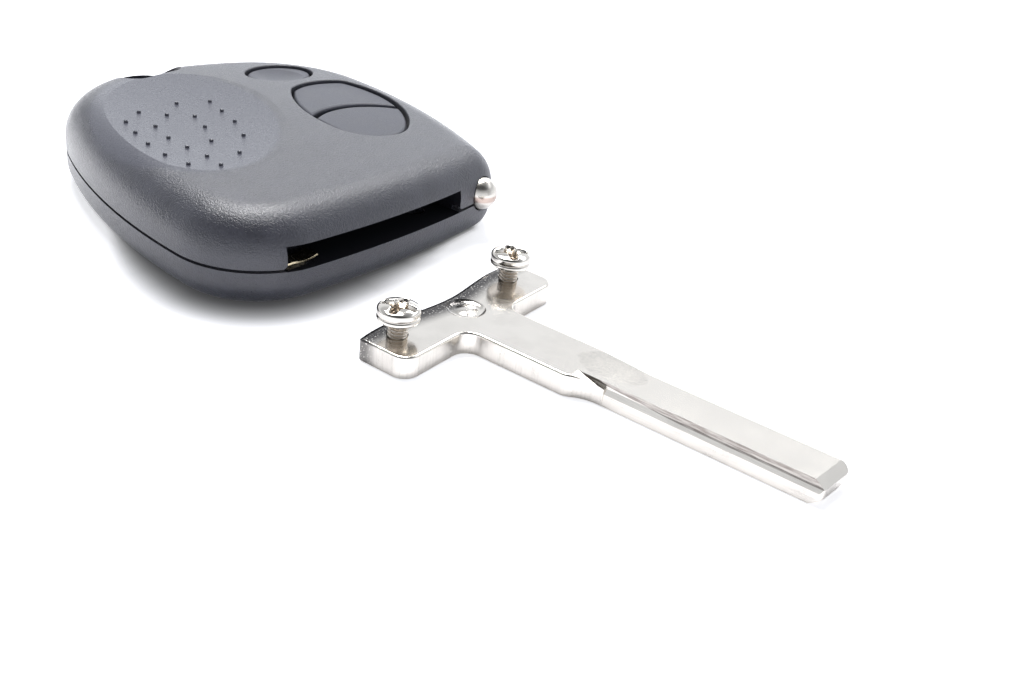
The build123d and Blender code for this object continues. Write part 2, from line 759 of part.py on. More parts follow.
# Contact strip in the slot: a flat limb in its channel, folded up at the side wall behind
# a spring limb whose tip curls up, with a tail under the pocket wall up to the board
with BuildPart() as blade_contact:
    with BuildSketch(Plane.YZ.offset(leaf_back)):
        with BuildLine():
            flat = Line((leaf_tip - leaf_flat_end, leaf_floor), (leaf_root + leaf_bend_height / 2, leaf_floor))
            bend = TangentArc(flat @ 1, flat @ 1 + Vector(0, leaf_bend_height), tangent=flat % 1)
        trace(line_width=strip_thickness)
    extrude(amount=leaf_front - leaf_back - leaf_fold_setback)
    with BuildSketch(Plane.YZ.offset(leaf_back)):
        with BuildLine():
            wall_end = (leaf_wall_gap - slot_half, leaf_floor + leaf_bend_height)
            level = Line(wall_end, bend @ 1)
            Spline(
                level @ 1,
                (leaf_root + leaf_sag_place, leaf_floor + leaf_sag_height),
                (leaf_tip, leaf_floor + leaf_tip_height),
                tangents=(level % 1, (1, leaf_tip_slope)),
            )
        trace(line_width=strip_thickness)
    extrude(amount=leaf_front - leaf_back)
    with BuildSketch(Plane.XZ.offset(-leaf_root - leaf_tail_width)):
        with BuildLine():
            Polyline(
                (leaf_back + leaf_tail_lap, leaf_floor),
                (board_front - leaf_tail_lap, leaf_floor),
                (board_front - leaf_tail_lap, board_underside),
            )
        trace(line_width=strip_thickness)
    extrude(amount=leaf_tail_width - seat_clearance)
keep(blade_contact, "blade_contact")

# Contact pin: a domed plunger with a flange that stops against the bore's shoulder
pin_plane = Plane(origin=(0, pin_side, pin_height), x_dir=(1, 0, 0), z_dir=(0, -1, 0))
with BuildPart() as contact_pin:
    with BuildSketch(pin_plane):
        with BuildLine():
            Polyline(
                (pin_dome_start + pin_radius, 0), (pin_flange_back, 0), (pin_flange_back, pin_flange_radius),
                (pin_flange_front, pin_flange_radius), (pin_flange_front, pin_radius),
                (pin_dome_start, pin_radius),
            )
            RadiusArc((pin_dome_start, pin_radius), (pin_dome_start + pin_radius, 0), pin_radius)
        make_face()
    revolve(axis=pin_axis)
keep(contact_pin, "contact_pin")

# Spring behind the pin
coil_length = spring_length - 2 * (spring_end_gap + spring_wire_radius)
coil_start = (terminal_front + spring_end_gap + spring_wire_radius, pin_side, pin_height)
with BuildPart() as contact_pin_spring:
    with BuildLine():
        coil = Helix(coil_length / spring_turns, coil_length, spring_radius, center=coil_start, direction=(1, 0, 0))
    with BuildSketch(Plane(origin=coil @ 0, z_dir=coil % 0)):
        Circle(spring_wire_radius)
    sweep(is_frenet=True)
keep(contact_pin_spring, "contact_pin_spring")

# Terminal behind the spring, with a tail over the board
with BuildPart() as pin_terminal:
    with Locations((terminal_front - terminal_thickness, pin_side, pin_height)):
        Box(terminal_thickness, terminal_size, terminal_size, align=(Align.MIN, Align.CENTER, Align.CENTER))
    with Locations((terminal_front, pin_side, board_top)):
        Box(
            terminal_front - pin_block_back + terminal_lap,
            terminal_tail_width,
            terminal_thickness,
            align=(Align.MAX, Align.CENTER, Align.MIN),
        )
keep(pin_terminal, "pin_terminal")

# Key blade, flat on the ground in front of the case
with BuildPart() as key_blade:
    with BuildSketch(blade_plane) as blade_outline:
        with BuildLine():
            rear_edge = Spline(
                (-head_end_back, half_head), (-head_back, head_horn), (-head_middle_back, head_hollow),
                (-head_back, -head_horn), (-head_end_back, -half_head),
            )
            Polyline(
                (-head_end_back, -half_head), (head_front, -half_head),
                (head_front, -half_shank), (shank_end, -half_shank),
            )
            Spline(
                (shank_end, -half_shank), (shank_end + neck_length / 3, -half_shank + neck_middle_drop),
                (neck_end, -blade_near_edge), tangents=((1, neck_slope), (1, 0)),
            )
            Polyline(
                (neck_end, -blade_near_edge), (blade_tip - tip_slant, -blade_near_edge),
                (blade_tip, blade_far_edge), (shank_end + far_neck_length, blade_far_edge),
                (shank_end, half_shank), (head_front, half_shank),
                (head_front, half_head), (-head_end_back, half_head),
            )
        make_face()
        for corner, radius in (
            ((head_front, half_head), head_corner_radius),
            ((head_front, -half_head), head_corner_radius),
            ((head_front, half_shank), head_corner_radius),
            ((head_front, -half_shank), head_corner_radius),
            ((shank_end, half_shank), neck_radius),
            ((shank_end, -half_shank), neck_radius),
            ((shank_end + far_neck_length, blade_far_edge), neck_radius),
            ((-head_end_back, half_head), head_back_radius),
            ((-head_end_back, -half_head), head_back_radius),
            ((blade_tip - tip_slant, -blade_near_edge), tip_radius),
            ((blade_tip, blade_far_edge), tip_radius),
        ):
            nearest = blade_outline.vertices().sort_by_distance(corner)[0]
            fillet(nearest, radius)
    extrude(amount=blade_thickness)
    fillet(key_blade.faces().sort_by(Axis.Z)[-1].edges(), blade_edge_round)
    fillet(key_blade.faces().sort_by(Axis.Z)[0].edges(), blade_under_round)
    # Rear edge, rolled over when the blade was stamped
    rolled_edge = blade_plane.offset(blade_thickness).from_local_coords(rear_edge)
    with BuildLine() as roll_path:
        Line(rolled_edge @ 0 - rolled_edge % 0 * roll_run_out, rolled_edge @ 0)
        add(rolled_edge)
        Line(rolled_edge @ 1, rolled_edge @ 1 + rolled_edge % 1 * roll_run_out)
    roll_start = roll_path.wire() @ 0
    roll_way = roll_path.wire() % 0
    with BuildSketch(Plane(roll_start, x_dir=blade_plane.z_dir.cross(roll_way), z_dir=roll_way)):
        with BuildLine():
            Polyline(
                (0, -roll_drop), (-roll_width, -roll_drop), (-roll_width, roll_drop),
                (roll_width, roll_drop), (roll_width, 0),
            )
            Spline((roll_width, 0), (0, -roll_drop), tangents=((-1, 0), (0, -1)))
        make_face()
    sweep(path=roll_path.wire(), mode=Mode.SUBTRACT)
    for side in (1, -1):
        # Bevel across the tip
        with BuildSketch(Plane(tip_centre, x_dir=tip_normal, z_dir=tip_line * -side)):
            with BuildLine():
                Polyline(
                    (-tip_bevel, half_thickness), (tip_bevel, half_thickness - 2 * tip_bevel_drop),
                    (tip_bevel, blade_thickness), (-tip_bevel, blade_thickness), close=True,
                )
            make_face()
        extrude(amount=shank_width, both=True, mode=Mode.SUBTRACT)
        # Milled step along the edge, the same turned over on the other side
        section = Plane(neck_centre, x_dir=blade_plane.y_dir * side, z_dir=blade_plane.x_dir)
        with BuildSketch(section):
            with BuildLine():
                Polyline(
                    (-step_edge, blade_thickness), (-step_edge, half_thickness),
                    (-step_edge - step_draft, half_thickness - step_depth),
                    (-step_foot, half_thickness - step_foot_depth), (-blade_half_width, -half_thickness),
                    (-shank_width, -half_thickness), (-shank_width, blade_thickness), close=True,
                )
            make_face()
        extrude(amount=blade_tip, mode=Mode.SUBTRACT)
        # Ramp at the neck, where the cutter ran out
        ramp = Plane(neck_centre, x_dir=blade_plane.x_dir, z_dir=blade_plane.y_dir * -side)
        with BuildSketch(ramp.offset(step_edge)):
            with BuildLine():
                Polyline(
                    (step_start - neck_end, half_thickness), (0, half_thickness - step_depth),
                    (0, blade_thickness), (step_start - neck_end, blade_thickness), close=True,
                )
            make_face()
        extrude(amount=shank_width, mode=Mode.SUBTRACT)
    # Tapped holes
    for place in screw_places:
        with Locations(place):
            Hole(screw_radius + screw_hole_clearance, depth=2 * blade_thickness)
    # Pressed ring between them: a round groove, and a low dome inside it
    with BuildSketch(Plane(blade_plane.origin, x_dir=blade_plane.x_dir, z_dir=-blade_plane.y_dir)):
        with BuildLine():
            Spline(
                (0, blade_thickness - ring_dome_drop),
                (ring_radius - ring_width, blade_thickness - ring_depth),
                (ring_radius, blade_thickness),
                tangents=((1, 0), (1, 1)),
            )
            Polyline(
                (ring_radius, blade_thickness), (ring_radius, blade_thickness + ring_depth),
                (0, blade_thickness + ring_depth), (0, blade_thickness - ring_dome_drop),
            )
        make_face()
    revolve(axis=Axis(blade_plane.origin, (0, 0, 1)), mode=Mode.SUBTRACT)
keep(key_blade, "key_blade")

# Blade screws, each standing part-way in its hole: a pan head with a line round it above its
# rim, and a cross recess
for name, place, turn in zip(("left_blade_screw", "right_blade_screw"), screw_places, recess_turns):
    with BuildPart() as blade_screw:
        with BuildSketch(Plane(place, x_dir=(1, 0, 0), z_dir=(0, -1, 0))):
            with BuildLine():
                Polyline(
                    (0, head_top), (0, screw_end), (screw_radius - screw_point, screw_end),
                    (screw_radius, screw_end + screw_point), (screw_radius, head_seat),
                    (screw_head_radius - head_seat_round, head_seat),
                    (screw_head_radius, head_seat + head_seat_round),
                    (screw_head_radius, head_seat + screw_head_rim - screw_head_line),
                    (screw_head_radius - screw_head_line, head_seat + screw_head_rim),
                    (screw_head_radius, head_seat + screw_head_rim + screw_head_line),
                    (screw_head_radius, head_seat + screw_head_side),
                )
                ThreePointArc(
                    (screw_head_radius, head_seat + screw_head_side),
                    (dome_shoulder_radius, head_top - dome_shoulder_drop), (0, head_top),
                )
            make_face()
        revolve(axis=Axis(place, (0, 0, 1)))
        with BuildSketch(Plane(place).offset(head_top - recess_depth)):
            Rectangle(recess_length, recess_width, rotation=turn)
            Rectangle(recess_width, recess_length, rotation=turn)
        extrude(amount=screw_length, mode=Mode.SUBTRACT)
    keep(blade_screw, name)

os.makedirs("parts", exist_ok=True)
for name, part in parts.items():
    export_step(part, f"parts/{name}.step")
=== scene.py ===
import math

import bpy
import numpy as np
from bpy.props import FloatProperty, FloatVectorProperty, PointerProperty
from mathutils import Matrix, Vector


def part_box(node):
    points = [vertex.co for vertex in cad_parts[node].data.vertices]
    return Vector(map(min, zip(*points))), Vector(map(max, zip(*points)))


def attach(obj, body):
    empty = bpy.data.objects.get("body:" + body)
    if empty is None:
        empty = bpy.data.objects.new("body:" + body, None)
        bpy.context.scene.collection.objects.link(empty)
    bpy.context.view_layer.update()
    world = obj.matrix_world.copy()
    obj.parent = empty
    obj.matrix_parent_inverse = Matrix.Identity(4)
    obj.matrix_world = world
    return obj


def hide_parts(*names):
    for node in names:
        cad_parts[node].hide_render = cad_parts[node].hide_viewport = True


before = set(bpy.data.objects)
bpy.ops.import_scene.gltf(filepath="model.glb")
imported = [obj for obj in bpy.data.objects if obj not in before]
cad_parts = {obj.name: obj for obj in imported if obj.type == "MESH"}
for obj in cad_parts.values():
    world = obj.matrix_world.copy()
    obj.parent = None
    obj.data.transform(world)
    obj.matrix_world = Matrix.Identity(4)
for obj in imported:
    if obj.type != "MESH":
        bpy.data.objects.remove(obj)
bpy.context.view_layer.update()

bl_info = {
    "name": "Car remote key",
    "version": (1, 0, 0),
    "blender": (4, 5, 0),
    "location": "3D View > Sidebar > Remote Key",
    "description": "Finishes the remote's case, buttons, blade and screws, and sets up its studio",
    "category": "Object",
}

MM = 0.001

# The thumb dish's oval on the case, with its turn in degrees and its half widths
DISH_CENTRE = (-5.0 * MM, -4.7 * MM)
DISH_TURN = -28.5
DISH_RADII = (20.7 * MM, 12.5 * MM)

# The blade's slot in the case's front wall: its two ends and its two heights
SLOT_ENDS = (-15.26 * MM, 15.26 * MM)
SLOT_HEIGHTS = (4.98 * MM, 8.12 * MM)

# The key blade's own frame: its origin is the pressed ring's middle, and it turns in degrees about it
BLADE_RING = (45.1 * MM, -2.05 * MM)
BLADE_TURN = 3.2

# In that frame, the head's rear edge and how far its middle bows forward, and the scuffed patch
REAR_EDGE = -4.3 * MM
REAR_BOW = 0.95 * MM
SCUFF_CENTRE = (19.5 * MM, 1.2 * MM)
SCUFF_RADII = (4.4 * MM, 2.6 * MM)

# The screws: from the top of their box down to the head's underside, the height of the head's side
# and of the oval above it, the shank's core, and the thread's height
SEAT_DEPTH = 2.3 * MM
SIDE_HEIGHT = 1.2 * MM
OVAL_HEIGHT = 0.62 * MM
CORE_RADIUS = 1.02 * MM
THREAD_HEIGHT = 0.22 * MM


# Shader nodes as expressions


class Signal:
    """A shader socket that can be used in sums and products, each of which adds its Math node."""

    def __init__(self, tree, socket=None):
        self.tree = tree
        self.socket = socket

    def node(self, kind, settings=None, sockets=None, out=0):
        """Add a node of a kind: its settings first, then the values or links of its sockets."""
        made = self.tree.nodes.new(kind)
        for name, value in (settings or {}).items():
            setattr(made, name, value)
        for name, value in (sockets or {}).items():
            if isinstance(value, Signal):
                self.tree.links.new(value.socket, made.inputs[name])
            else:
                made.inputs[name].default_value = value
        return Signal(self.tree, made.outputs[out] if made.outputs else None)

    def maths(self, operation, *values):
        return self.node("ShaderNodeMath", {"operation": operation}, dict(enumerate(values)))

    def __add__(self, other):
        return self.maths("ADD", self, other)

    __radd__ = __add__

    def __sub__(self, other):
        return self.maths("SUBTRACT", self, other)

    def __rsub__(self, other):
        return self.maths("SUBTRACT", other, self)

    def __mul__(self, other):
        return self.maths("MULTIPLY", self, other)

    __rmul__ = __mul__

    def __truediv__(self, other):
        return self.maths("DIVIDE", self, other)

    def __rtruediv__(self, other):
        return self.maths("DIVIDE", other, self)

    def __abs__(self):
        return self.maths("ABSOLUTE", self)

    def ramp(self, low, high, bottom=0.0, top=1.0):
        """Bottom below low, top above high, and a smooth step between them."""
        settings = {"interpolation_type": "SMOOTHSTEP", "clamp": True}
        ends = {"From Min": low, "From Max": high, "To Min": bottom, "To Max": top}
        return self.node("ShaderNodeMapRange", settings, {"Value": self, **ends})

    def mix(self, first, second):
        """The first colour where this signal is 0 and the second where it is 1."""
        settings = {"data_type": "RGBA", "blend_type": "MIX"}
        return self.node("ShaderNodeMix", settings, {0: self, 6: first, 7: second}, 2)


def new_material(name):
    """A material with an empty tree, and a signal to build it from."""
    material = bpy.data.materials.new(name)
    material.use_nodes = True
    material.node_tree.nodes.clear()
    return material, Signal(material.node_tree)


def principled(start, sockets):
    return start.node("ShaderNodeBsdfPrincipled", None, sockets)


def show(start, shader):
    """Join a shader to the material's output."""
    start.node("ShaderNodeOutputMaterial", None, {"Surface": shader})


def bumped(start, height, distance):
    """The surface's normal, tilted as if a height of 1 stood this far out."""
    return start.node("ShaderNodeBump", None, {"Strength": 1.0, "Distance": distance, "Height": height})


def rgb(colour, share=1.0):
    """A share of a colour, as a colour socket takes it."""
    return (*(share * part for part in colour), 1.0)


def noise(start, size, detail=2.0, roughness=0.5, stretch=None):
    """Noise on the object's own coordinates, whose spots are about a size across, in metres."""
    place = start.node("ShaderNodeTexCoord", None, None, "Object")
    if stretch:
        place = start.node("ShaderNodeMapping", {"vector_type": "POINT"}, {"Vector": place, **stretch})
    sockets = {"Vector": place, "Scale": 1 / size, "Detail": detail, "Roughness": roughness}
    return start.node("ShaderNodeTexNoise", None, sockets)


def attribute(start, name):
    """A number that the mesh stores at each of its points."""
    return start.node("ShaderNodeAttribute", {"attribute_name": name}, None, "Fac")


def masked(signal, low, high, soft):
    """1 between two values, falling smoothly to 0 over a soft width outside them."""
    return signal.ramp(low - soft, low) * signal.ramp(high, high + soft, 1.0, 0.0)


def place_of(start):
    """The three coordinates of the object's own space, in metres."""
    place = start.node("ShaderNodeTexCoord", None, None, "Object")
    return [start.node("ShaderNodeSeparateXYZ", None, {"Vector": place}, axis) for axis in "XYZ"]


def turned_place(start, centre, degrees):
    """How far along and across a frame turned about a centre on the floor, and how high."""
    x, y, z = place_of(start)
    x, y, turn = x - centre[0], y - centre[1], math.radians(degrees)
    along = x * math.cos(turn) + y * math.sin(turn)
    across = y * math.cos(turn) - x * math.sin(turn)
    return along, across, z


def oval(along, across, radii):
    """The square of the distance from an oval's middle, as a share of its radius in that direction."""
    along, across = along / radii[0], across / radii[1]
    return along * along + across * across


# Materials


def dish_mask(start):
    """1 in the thumb dish, which lies above 9 mm, and 0 outside its oval."""
    along, across, z = turned_place(start, DISH_CENTRE, DISH_TURN)
    return oval(along, across, DISH_RADII).ramp(0.88, 1.04, 1.0, 0.0) * z.ramp(8 * MM, 9 * MM)


def slot_shade_mask(start):
    """1 on the walls of the blade's slot, which lie behind the front wall's face, where shade is
    painted.
    """
    x, y, z = place_of(start)
    edge = 0.04 * MM
    return x.ramp(14 * MM, 15 * MM) * masked(y, *SLOT_ENDS, edge) * masked(z, *SLOT_HEIGHTS, edge)


def moulded_plastic(name, colour, gloss, grain, depth, specular=0.75, case=False):
    """Plastic out of a spark-eroded mould: two sizes of rounded grain, and a faint mottle.

    With case, the thumb dish is a little smoother and is painted paler, a painted reflection of the
    light behind the key, and the walls of the blade's slot are painted with shade, dark and dull.
    """
    material, start = new_material(name)
    coarse = noise(start, grain, 2.0, 0.55)
    fine = noise(start, grain * 0.5, 1.0)
    height = coarse.ramp(0.35, 0.65) * 0.6 + fine.ramp(0.3, 0.7) * 0.4
    mottle = noise(start, 3 * MM, 3.0).ramp(0.3, 0.7)
    base = mottle.mix(rgb(colour, 0.88), rgb(colour, 1.12))
    rough = gloss + (mottle - 0.5) * 0.04 + (coarse - 0.5) * 0.20
    if case:
        # The thumb dish is painted paler, a painted reflection of the light behind the key, and is
        # smoother with less grain
        dish = dish_mask(start)
        base = dish.mix(base, rgb(colour, 1.6))
        rough = rough - dish * 0.05
        height = height * (1 - dish * 0.6)
    shader = principled(start, {
        "Base Color": base, "Roughness": rough, "Normal": bumped(start, height, depth),
        "Specular IOR Level": specular, "Sheen Weight": 0.08, "Sheen Roughness": 0.4,
    })
    if case:
        # Painted shade: the slot's walls, which lie in shade, are painted dark and dull
        dull = principled(start, {
            "Base Color": rgb(colour, 0.3), "Roughness": 0.9, "Specular IOR Level": 0.1,
        })
        shader = start.node("ShaderNodeMixShader", None, {0: slot_shade_mask(start), 1: shader, 2: dull})
    show(start, shader)
    return material


def plated_metal(name, colour, gloss, ripple, hollow_tint=False, painted_reflection_band=None):
    """Bright plate over stamped metal: a faint ripple, fine pits and slightly duller patches.

    With hollow_tint, the plate is darker and browner where the piece's attribute of that name says so.
    With painted_reflection_band, it is painted reddish between those two heights, as a painted
    reflection.
    """
    material, start = new_material(name)
    cloud = noise(start, 5 * MM, 3.0).ramp(0.35, 0.7)
    pits = noise(start, 0.35 * MM, 3.0, 0.6)
    base = cloud.mix(rgb(colour), rgb(colour, 0.93))
    rough = gloss + cloud * 0.05 + (pits - 0.5) * 0.06
    if hollow_tint:
        tint_share = attribute(start, "hollow_tint") * (0.5 + pits * 0.6)
        base = tint_share.mix(base, rgb((0.33, 0.26, 0.19)))
        rough = rough + tint_share * 0.16
    if painted_reflection_band:
        # Painted reflection: a reddish band across the dome between two heights
        z = place_of(start)[2]
        base = (masked(z, *painted_reflection_band, 0.3 * MM) * 0.7).mix(base, rgb((0.42, 0.29, 0.24)))
    height = noise(start, 1.1 * MM, 2.0) * 0.7 + pits * 0.3
    show(start, principled(start, {
        "Base Color": base, "Metallic": 1.0, "Roughness": rough, "Normal": bumped(start, height, ripple),
    }))
    return material


def blade_nickel(name, colour, gloss):
    """The blade's plate: satin on top, drawn upright on its sheared sides and lengthwise where milled.

    It has four marks: a dark band along the head's rear edge, painted in as a reflection of the dark
    case and broken by bright specks, a round scuffed patch where the milled blade begins, a dark band
    of painted shade on the milled wall, which widens towards the tip, and fine scratches along the
    blade.
    """
    material, start = new_material(name)
    along, across, z = turned_place(start, BLADE_RING, BLADE_TURN)
    facing = start.node("ShaderNodeNewGeometry", None, None, "Normal")
    upward = start.node("ShaderNodeSeparateXYZ", None, {"Vector": facing}, "Z")
    side = upward.ramp(0.25, 0.6, 1.0, 0.0)

    cloud = noise(start, 5 * MM, 3.0).ramp(0.35, 0.7)
    pits = noise(start, 0.30 * MM, 3.0, 0.6)
    specks = noise(start, 0.26 * MM, 2.0, 0.6)
    upright = noise(start, 0.30 * MM, 3.0, 0.6, {"Scale": (1.0, 1.0, 0.06)})
    with_blade = {"Rotation": (0, 0, -math.radians(BLADE_TURN)), "Scale": (0.02, 1.0, 1.0)}
    lengthwise = noise(start, 0.20 * MM, 3.0, 0.65, with_blade)
    milled = along.ramp(19 * MM, 23 * MM)
    drawn = upright * (1 - milled) + lengthwise * milled
    lines = side * drawn.ramp(0.45, 0.68)

    # Painted reflection: a dark band along the head's rear edge, where the dark case would be mirrored,
    # with bright specks in it
    from_rear = along - REAR_EDGE - abs(across).ramp(1 * MM, 9.5 * MM, REAR_BOW, 0.0)
    dark_rear_reflection = from_rear.ramp(1.3 * MM, 3.7 * MM, 1.0, 0.0) * upward.ramp(-0.3, 0.1)
    dark_rear_reflection = dark_rear_reflection * (0.75 + specks * 0.5)
    bright_specks = specks.ramp(0.60, 0.66) * dark_rear_reflection
    patch = oval(along - SCUFF_CENTRE[0], across - SCUFF_CENTRE[1], SCUFF_RADII)
    scuff = (patch + (cloud - 0.5) * 0.5).ramp(0.75, 1.1, 1.0, 0.0)
    scuff = scuff * upward.ramp(0.8, 0.95) * (0.45 + pits.ramp(0.40, 0.58) * 0.55)
    # Painted shade: the milled wall's side faces are painted dark above a height that falls towards the
    # tip
    band_foot = along.ramp(18 * MM, 32 * MM, 2.55 * MM, 2.0 * MM)
    band = (z - band_foot).ramp(-0.05 * MM, 0.05 * MM) * along.ramp(17.5 * MM, 18.5 * MM)
    band = band * upward.ramp(0.5, 0.8, 1.0, 0.0) * (0.55 + lengthwise.ramp(0.40, 0.60) * 0.45)

    base = (cloud * 0.5 + lines * 0.4).mix(rgb(colour), rgb(colour, 0.82))
    # The milled wall's painted shade
    base = band.mix(base, rgb((0.26, 0.23, 0.21)))
    base = (scuff * 0.8).mix(base, rgb(colour, 0.64))
    # The rear edge's painted reflection of the dark case, then its bright specks
    base = (dark_rear_reflection * 0.95).mix(base, rgb((0.045, 0.043, 0.045)))
    base = (bright_specks * 0.9).mix(base, rgb(colour))
    rough = gloss + cloud * 0.04 + (pits - 0.5) * 0.08 + scuff * 0.05 + lines * 0.08 + side * 0.06
    height = noise(start, 1.1 * MM, 2.0) * 0.35 + pits * 0.20
    height = height + side * drawn * 0.9 + (1 - side) * lengthwise * 0.16
    height = height + scuff * pits * 0.5 - dark_rear_reflection * specks * 1.5
    show(start, principled(start, {
        "Base Color": base, "Metallic": 1.0, "Roughness": rough,
        "Normal": bumped(start, height, 0.008 * MM),
    }))
    return material


def coated_board(name, mask, track):
    """Solder mask over copper: pale tracks show through it in a fine broken pattern."""
    material, start = new_material(name)
    place = start.node("ShaderNodeTexCoord", None, None, "Object")
    by_edge = {"feature": "DISTANCE_TO_EDGE"}
    cells = start.node("ShaderNodeTexVoronoi", by_edge, {"Vector": place, "Scale": 420.0})
    lines = cells.ramp(0.04, 0.07, 1.0, 0.0)
    base = lines.mix(rgb(mask), rgb(track))
    rough = 0.28 + noise(start, 0.8 * MM) * 0.1
    show(start, principled(start, {
        "Base Color": base, "Roughness": rough, "Normal": bumped(start, lines, 0.03 * MM),
    }))
    return material


# Properties


class CaseFinish(bpy.types.PropertyGroup):
    colour: FloatVectorProperty(
        name="Case colour", description="Colour of the moulded shells", subtype="COLOR",
        default=(0.032, 0.033, 0.045), min=0, max=1,
    )
    button_colour: FloatVectorProperty(
        name="Button colour", description="Colour of the three buttons", subtype="COLOR",
        default=(0.040, 0.042, 0.057), min=0, max=1,
    )
    roughness: FloatProperty(
        name="Roughness", description="How dull the shells are", subtype="FACTOR",
        default=0.33, min=0, max=1,
    )
    grain: FloatProperty(
        name="Grain size", description="Width of the mould's grain", unit="LENGTH",
        default=0.30 * MM, min=0.02 * MM,
    )
    grain_depth: FloatProperty(
        name="Grain depth", description="Height of the mould's grain", unit="LENGTH",
        default=0.030 * MM, min=0,
    )


class MetalFinish(bpy.types.PropertyGroup):
    nickel: FloatVectorProperty(
        name="Nickel colour", description="Colour of the plated blade, pin and screws", subtype="COLOR",
        default=(0.84, 0.80, 0.74), min=0, max=1,
    )
    thread_pitch: FloatProperty(
        name="Thread pitch", description="Rise of the screws' thread in one turn", unit="LENGTH",
        default=0.45 * MM, min=0.2 * MM,
    )
    roughness: FloatProperty(
        name="Roughness", description="How dull the plate is", subtype="FACTOR",
        default=0.12, min=0, max=1,
    )


class Studio(bpy.types.PropertyGroup):
    turn: FloatProperty(
        name="Turn", description="Camera's turn round the key", subtype="ANGLE",
        default=math.radians(35.04),
    )
    height: FloatProperty(
        name="Height", description="Camera's angle above the floor", subtype="ANGLE",
        default=math.radians(29.17),
    )
    tilt: FloatProperty(
        name="Tilt", description="Camera's roll", subtype="ANGLE", default=math.radians(7.79),
    )
    distance: FloatProperty(
        name="Distance", description="From the camera to the point that it looks at", unit="LENGTH",
        default=129.65 * MM,
    )
    focus: FloatVectorProperty(
        name="Looks at", description="Point on the floor that the camera looks at",
        subtype="TRANSLATION", default=(50.86 * MM, 0.17 * MM, 0.0),
    )
    lens: FloatProperty(
        name="Lens", description="Focal length", unit="CAMERA", default=38.069,
    )


# Operators


def dress(material, *names):
    """Give CAD nodes this material."""
    for name in names:
        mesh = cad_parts[name].data
        mesh.materials.clear()
        mesh.materials.append(material)


class KEY_OT_case(bpy.types.Operator):
    """Finish the two shells"""

    bl_idname = "key.case"
    bl_label = "Case"

    def execute(self, context):
        finish = context.scene.key_case
        plastic = moulded_plastic(
            "case_plastic", finish.colour, finish.roughness, finish.grain, finish.grain_depth, case=True,
        )
        dress(plastic, "upper_shell", "lower_shell")
        return {"FINISHED"}


class KEY_OT_buttons(bpy.types.Operator):
    """Finish the three buttons"""

    bl_idname = "key.buttons"
    bl_label = "Buttons"

    def execute(self, context):
        finish = context.scene.key_case
        duller = finish.roughness + 0.06
        plastic = moulded_plastic(
            "button_plastic", finish.button_colour, duller, 0.2 * MM, 0.008 * MM, specular=0.4,
        )
        dress(plastic, "lock_button", "unlock_button", "boot_button")
        return {"FINISHED"}


class KEY_OT_blade(bpy.types.Operator):
    """Finish the key blade"""

    bl_idname = "key.blade"
    bl_label = "Blade"

    def execute(self, context):
        finish = context.scene.key_metal
        dress(blade_nickel("blade_nickel", finish.nickel, finish.roughness), "key_blade")
        return {"FINISHED"}


class KEY_OT_screws(bpy.types.Operator):
    """Make the two pan-head screws, with their recesses and threads, in place of the plain ones"""

    bl_idname = "key.screws"
    bl_label = "Screws"

    def execute(self, context):
        finish = context.scene.key_metal
        colour = [0.93 * part for part in finish.nickel]
        nickel = plated_metal("screw_nickel", colour, 0.09, 0.003 * MM, hollow_tint=True)
        for name, degrees in (("left_blade_screw", 20.0), ("right_blade_screw", 50.0)):
            turn = math.radians(degrees)
            screw = pan_head_screw(name + "_threaded", *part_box(name), turn, finish.thread_pitch)
            screw.data.materials.append(nickel)
            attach(screw, "case")
            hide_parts(name)
        return {"FINISHED"}


